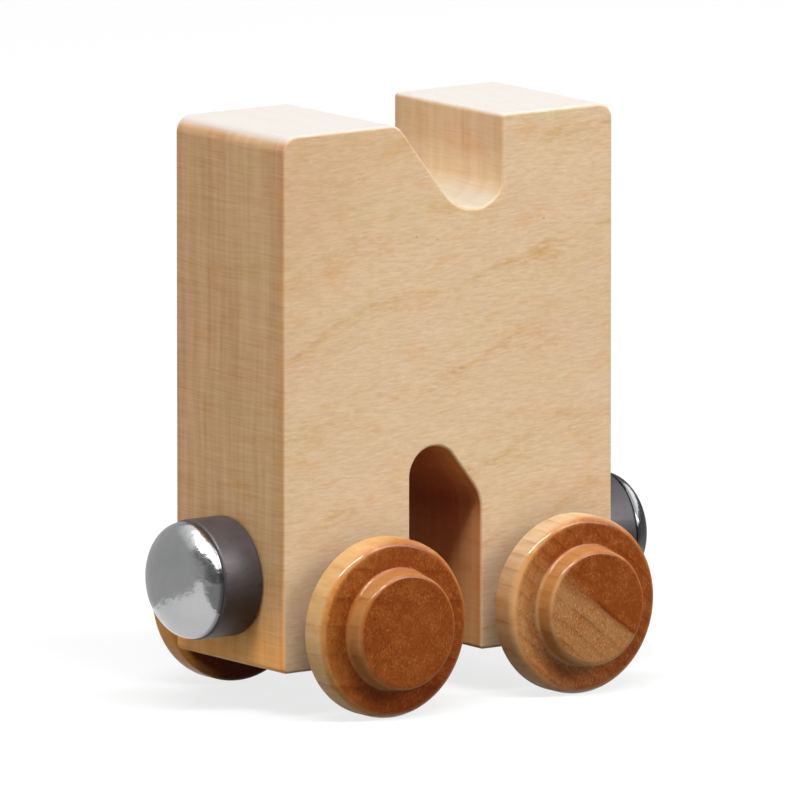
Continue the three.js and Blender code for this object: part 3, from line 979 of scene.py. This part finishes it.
CHROME_DARK = opaque(0.425, 0.43, 0.435)
CHROME_PALE = grey(0.47)
CHROME_RIM_PAINTED_SHADE = opaque(0.40, 0.40, 0.42)
CHROME_RIM_PAINTED_SHADE_BAND = (0.65, 0.15)
CHROME_SCUFFS = {"Scuff Size": (0.25, 0.25, 0.25)}
CHROME_ROUGH = (0.13, 0.22)
CHROME_SCUFF_RELIEF = 0.07
CHROME_RELIEF = 1.0
CHROME_RELIEF_DEPTH = 0.06 * MM

# Left and right magnet tones: the right one is a darker copy, painted shade against the brighter
# light on its side
FERRITE_LEFT_TONE = (opaque(0.078, 0.063, 0.067), opaque(0.055, 0.047, 0.052))
FERRITE_RIGHT_PAINTED_DARKER = (opaque(0.062, 0.053, 0.057), opaque(0.044, 0.040, 0.046))
FERRITE_PIT = opaque(0.5, 0.42, 0.42)
# Painted shade on the magnets' undersides, browned like a painted reflection of the wood
FERRITE_PAINTED_LOW_SHADE = opaque(0.40, 0.24, 0.15)
PAINTED_LOW_SHADE_FACING = (0.25, -0.7)
FERRITE_SCUFFS = {"Scuff Size": (3.0, 0.3, 0.3)}
FERRITE_METALLIC = 0.25
FERRITE_ROUGH = (0.38, 0.5)
FERRITE_RELIEF = 0.12

STEEL_PALE = opaque(0.50, 0.50, 0.51)
STEEL_DARK = opaque(0.42, 0.42, 0.44)
STEEL_SCUFFS = {"Scuff Size": (4.0, 4.0, 0.15)}
STEEL_ROUGH = (0.25, 0.45)


def metal_wear_group():
    """Cloudiness, hairline scuffs and pits of a metal or ferrite surface."""
    group, given, result = group_of("metal_wear", METAL_SIZES, ["Clouds", "Scuffs", "Pits"])
    cloud_point = vectors(group, "MULTIPLY", given["Point"], METAL_CLOUD_RATE)
    feed(group, result["Clouds"], noise_mask(group, cloud_point, *METAL_CLOUD_NOISE))
    scuff_point = vectors(group, "DIVIDE", given["Point"], given["Scuff Size"])
    feed(group, result["Scuffs"], noise_mask(group, scuff_point, *SCUFF_NOISE))
    pit_point = vectors(group, "MULTIPLY", given["Point"], METAL_PIT_RATE)
    feed(group, result["Pits"], noise_mask(group, pit_point, *METAL_PIT_NOISE))
    return group


def chrome_cap(group):
    material, tree, surface = new_tree("chromed_cap")
    point = in_millimetres(tree)[0]
    seen = marks(tree, group, point, CHROME_SCUFFS)
    colour = blended(tree, seen["Clouds"], CHROME_DARK, CHROME_PALE)
    # Painted shade: a dark ring along the cap's rim, by the magnet
    rim_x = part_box("right_magnet_cap")[0].x / MM
    from_rim = less(tree, unsigned(tree, axes(tree, point)[0]), rim_x)
    painted_rim_shade = stretch(tree, from_rim, *CHROME_RIM_PAINTED_SHADE_BAND, smooth=True)
    colour = tinted(tree, painted_rim_shade, colour, CHROME_RIM_PAINTED_SHADE)
    lay(tree, surface, colour, stretch(tree, seen["Scuffs"], 0, 1, *CHROME_ROUGH))
    surface.inputs["Metallic"].default_value = 1.0
    scuffs = product(tree, seen["Scuffs"], CHROME_SCUFF_RELIEF)
    relief = maths(tree, "ADD", seen["Clouds"], scuffs)
    bumped(tree, surface, relief, CHROME_RELIEF, CHROME_RELIEF_DEPTH)
    return material


def ferrite(name, group, light, dark):
    material, tree, surface = new_tree(name)
    point, normal = in_millimetres(tree)
    seen = marks(tree, group, point, FERRITE_SCUFFS)
    colour = blended(tree, seen["Clouds"], light, dark)
    colour = tinted(tree, seen["Pits"], colour, FERRITE_PIT)
    # Painted shade and painted brown reflection on the side that faces down
    painted_low_shade = stretch(tree, axes(tree, normal)[2], *PAINTED_LOW_SHADE_FACING, smooth=True)
    colour = tinted(tree, painted_low_shade, colour, FERRITE_PAINTED_LOW_SHADE)
    lay(tree, surface, colour, stretch(tree, seen["Scuffs"], 0, 1, *FERRITE_ROUGH))
    surface.inputs["Metallic"].default_value = FERRITE_METALLIC
    relief = less(tree, seen["Scuffs"], seen["Pits"])
    bumped(tree, surface, relief, FERRITE_RELIEF, RELIEF_DEPTH)
    return material


def drawn_steel(group):
    material, tree, surface = new_tree("drawn_steel")
    seen = marks(tree, group, in_millimetres(tree)[0], STEEL_SCUFFS)
    colour = blended(tree, seen["Clouds"], STEEL_PALE, STEEL_DARK)
    lay(tree, surface, colour, stretch(tree, seen["Scuffs"], 0, 1, *STEEL_ROUGH))
    surface.inputs["Metallic"].default_value = 1.0
    return material


# Making the car

wood_grain = wood_grain_group()
metal_wear = metal_wear_group()
maple_finish = maple(wood_grain)
chrome_finish = chrome_cap(metal_wear)
ferrite_finish = {
    "left": ferrite("ferrite_left", metal_wear, *FERRITE_LEFT_TONE),
    "right": ferrite("ferrite_right_painted_darker", metal_wear, *FERRITE_RIGHT_PAINTED_DARKER),
}
steel_finish = drawn_steel(metal_wear)


def dress(piece, finish, body, node):
    smooth_with_crisp_edges(piece)
    piece.data.materials.clear()
    piece.data.materials.append(finish)
    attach(piece, body)
    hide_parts(node)


letter = letter_board()
bores = []
for side in ("left", "right"):
    axle_low, axle_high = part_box(side + "_axle")
    axle_centre = (axle_low + axle_high) / 2
    axle_bore = (axle_high.z - axle_low.z) / 2 + AXLE_RUNNING_GAP
    bores.append(rod_cutter(axle_centre, (0, 1, 0), axle_bore, 2 * BOARD_THICKNESS))
    nail_low, nail_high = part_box(side + "_cap_nail")
    nail_middle = (nail_low + nail_high) / 2
    nail_length = nail_high.x - nail_low.x + 2 * NAIL_END_GAP
    bores.append(rod_cutter(nail_middle, (1, 0, 0), NAIL_HOLE_RADIUS, nail_length))
bore(letter, bores)
dress(letter, maple_finish, "car_body", "letter_body")

for node, wood in WHEEL_WOOD.items():
    side = node.split("_")[0]
    finish = lacquered_wheel(node, wood_grain, wood)
    dress(wheel(node), finish, side + "_wheelset", node)

for side in ("left", "right"):
    magnet = ring_magnet(side + "_magnet")
    dress(magnet, ferrite_finish[side], "car_body", side + "_magnet")
    cap = domed_cap(side + "_magnet_cap")
    dress(cap, chrome_finish, "car_body", side + "_magnet_cap")
    for node in (side + "_axle", side + "_cap_nail"):
        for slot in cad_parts[node].material_slots:
            slot.material = steel_finish


# Stage

CAR_CENTRE = (cad_low + cad_high) / 2
CAMERA_TARGET = Vector((0.31, 0, 30.09)) * MM
CAMERA_DISTANCE = 2.097
CAMERA_AZIMUTH = -36.04
CAMERA_ELEVATION = 9.38
CAMERA_LENS = 910
CAMERA_SENSOR = 36
CAMERA_CLIP_START = 0.1
CAMERA_CLIP_END = 20
CAMERA_RIGHT = (
    math.cos(math.radians(CAMERA_AZIMUTH)),
    math.sin(math.radians(CAMERA_AZIMUTH)),
    0,
)
FLOOR_HALF = 3.0
FLOOR_WHITE = grey(0.9)
FLOOR_UNDER_CAR = grey(0.22)
FLOOR_PAPER = 0.78
FLOOR_ROUGH = 0.9
FLOOR_SPECULAR = 0.1
CARD_HALF = 0.5
ROOM_PALE_SIDE = Vector((-0.75, 0.62, 0.1)).normalized()
ROOM_BAND = (-0.15, 0.45)
ROOM_DARK = grey(0.12)
ROOM_PALE = grey(0.46)


def pale_floor():
    """White paper where it is seen, darker where it only throws light back at the car."""
    maker = bmesh.new()
    bmesh.ops.create_grid(maker, x_segments=1, y_segments=1, size=FLOOR_HALF)
    floor = new_piece("pale_floor", maker)
    finish, tree, surface = new_tree("pale_floor")
    surface.inputs["Roughness"].default_value = FLOOR_ROUGH
    surface.inputs["Specular IOR Level"].default_value = FLOOR_SPECULAR
    ray = tree.nodes.new("ShaderNodeLightPath").outputs
    seen = maths(tree, "MAXIMUM", ray["Is Camera Ray"], ray["Is Glossy Ray"])
    seen = maths(tree, "MAXIMUM", seen, ray["Is Transmission Ray"])
    colour = blended(tree, seen, FLOOR_UNDER_CAR, FLOOR_WHITE)
    tree.links.new(colour, surface.inputs["Base Color"])
    paper = tree.nodes.new("ShaderNodeEmission")
    blend = tree.nodes.new("ShaderNodeMixShader")
    feed(tree, blend.inputs[0], product(tree, seen, FLOOR_PAPER))
    tree.links.new(surface.outputs["BSDF"], blend.inputs[1])
    tree.links.new(paper.outputs["Emission"], blend.inputs[2])
    tree.links.new(blend.outputs[0], tree.nodes["Material Output"].inputs["Surface"])
    floor.data.materials.append(finish)


def from_side(azimuth, elevation):
    """Direction seen from the car: azimuth 0 is in front of its face, 90 at its right end."""
    turn, lift = math.radians(azimuth), math.radians(elevation)
    across = math.cos(lift)
    return Vector((math.sin(turn) * across, -math.cos(turn) * across, math.sin(lift)))


def soft_lamp(name, azimuth, elevation, distance, width, height, level, along=None):
    """Soft box that shines on the car. At level 1 it lights a face as white as it is."""
    light = bpy.data.lights.new(name, "AREA")
    light.shape = "RECTANGLE"
    light.size = width
    light.size_y = height
    light.energy = level * (math.pi * distance) ** 2
    lamp = bpy.data.objects.new(name, light)
    towards = from_side(azimuth, elevation).normalized()
    across = Vector(along) if along else Vector((0, 0, 1)).cross(towards)
    across = (across - towards * across.dot(towards)).normalized()
    up = towards.cross(across)
    lamp.location = CAR_CENTRE + towards * distance
    lamp.rotation_mode = "QUATERNION"
    lamp.rotation_quaternion = Matrix((across, up, towards)).transposed().to_quaternion()
    lamp.visible_camera = False
    bpy.context.scene.collection.objects.link(lamp)


def card(name, centre, across, along, near_level, far_level):
    """Plain card by the car, in millimetres. Only reflections show it, fading along its length."""
    centre, across, along = (Vector(v) * MM for v in (centre, across, along))
    maker = bmesh.new()
    bmesh.ops.create_grid(maker, x_segments=1, y_segments=1, size=CARD_HALF)
    spread = Matrix((across, along, across.cross(along).normalized())).transposed().to_4x4()
    bmesh.ops.transform(maker, matrix=Matrix.Translation(centre) @ spread, verts=maker.verts[:])
    piece = new_piece(name, maker)
    finish = bpy.data.materials.new(name)
    finish.use_nodes = True
    tree = finish.node_tree
    tree.nodes.clear()
    where = tree.nodes.new("ShaderNodeTexCoord")
    from_centre = vectors(tree, "SUBTRACT", where.outputs["Object"], centre)
    share = vectors(tree, "DOT_PRODUCT", from_centre, along / along.length_squared)
    glow = tree.nodes.new("ShaderNodeEmission")
    level = stretch(tree, share, -CARD_HALF, CARD_HALF, near_level, far_level)
    feed(tree, glow.inputs["Strength"], level)
    output = tree.nodes.new("ShaderNodeOutputMaterial")
    tree.links.new(glow.outputs["Emission"], output.inputs["Surface"])
    piece.data.materials.append(finish)
    piece.visible_camera = False
    piece.visible_diffuse = False
    piece.visible_shadow = False


def studio_world():
    """Dim room: paler towards the left and the back, darker behind the camera."""
    world = bpy.data.worlds.new("studio")
    world.use_nodes = True
    tree = world.node_tree
    where = tree.nodes.new("ShaderNodeTexCoord")
    aim = vectors(tree, "DOT_PRODUCT", where.outputs["Generated"], ROOM_PALE_SIDE)
    share = stretch(tree, aim, *ROOM_BAND, smooth=True)
    shade = blended(tree, share, ROOM_DARK, ROOM_PALE)
    tree.links.new(shade, tree.nodes["Background"].inputs["Color"])
    return world


def photo_camera():
    """Camera at the photograph's viewing angle."""
    camera = bpy.data.objects.new("camera", bpy.data.cameras.new("camera"))
    camera.data.lens = CAMERA_LENS
    camera.data.sensor_width = CAMERA_SENSOR
    camera.data.clip_start = CAMERA_CLIP_START
    camera.data.clip_end = CAMERA_CLIP_END
    backwards = from_side(CAMERA_AZIMUTH, CAMERA_ELEVATION)
    camera.location = CAMERA_TARGET + backwards * CAMERA_DISTANCE
    camera.rotation_mode = "QUATERNION"
    camera.rotation_quaternion = backwards.to_track_quat("Z", "Y")
    bpy.context.scene.collection.objects.link(camera)
    return camera


pale_floor()

soft_lamp(
    "overhead_strip",
    azimuth=-36,
    elevation=62,
    distance=1.5,
    width=1.20,
    height=0.15,
    level=1.10,
    along=CAMERA_RIGHT,
)
soft_lamp(
    "front_strip",
    azimuth=38,
    elevation=29,
    distance=1.2,
    width=0.92,
    height=0.26,
    level=0.47,
    along=(0.67, 0, -0.74),
)
soft_lamp(
    "right_box", azimuth=80, elevation=31, distance=1.2, width=1.50, height=0.55, level=0.30
)

# Cards, each with its centre, its two sides and its levels at the near and the far end
card("grey_card", (-40, 26, 22), (139, 80, 0), (0, 0, 44), 0.54, 0.54)
card("dark_card", (60, -7, 10), (0, 86, 0), (0, 0, 20), 0.20, 0.07)
# Painted shadow: a dim sheet on the floor, seen only in reflections, stands in for the car's shadow
card("floor_shadow_card", (1050, -565, 0.5), (1754, 960, 0), (960, -1754, 0), 0.33, 0.33)
card("overhead_card", (372, -1624, 1735), (2014, 594, 0), (1328, -4471, 0), 3.2, 3.2)
card("shade_card", (-1594, -2204, 1735), (1918, 566, 0), (1328, -4471, 0), 0.19, 0.19)
card("pale_card", (-630, 1040, 1735), (2400, 2000, 0), (-1240, 1480, 0), 1.55, 0.45)

bpy.context.scene.world = studio_world()
bpy.context.scene.camera = photo_camera()
bpy.context.scene.view_settings.view_transform = "Standard"
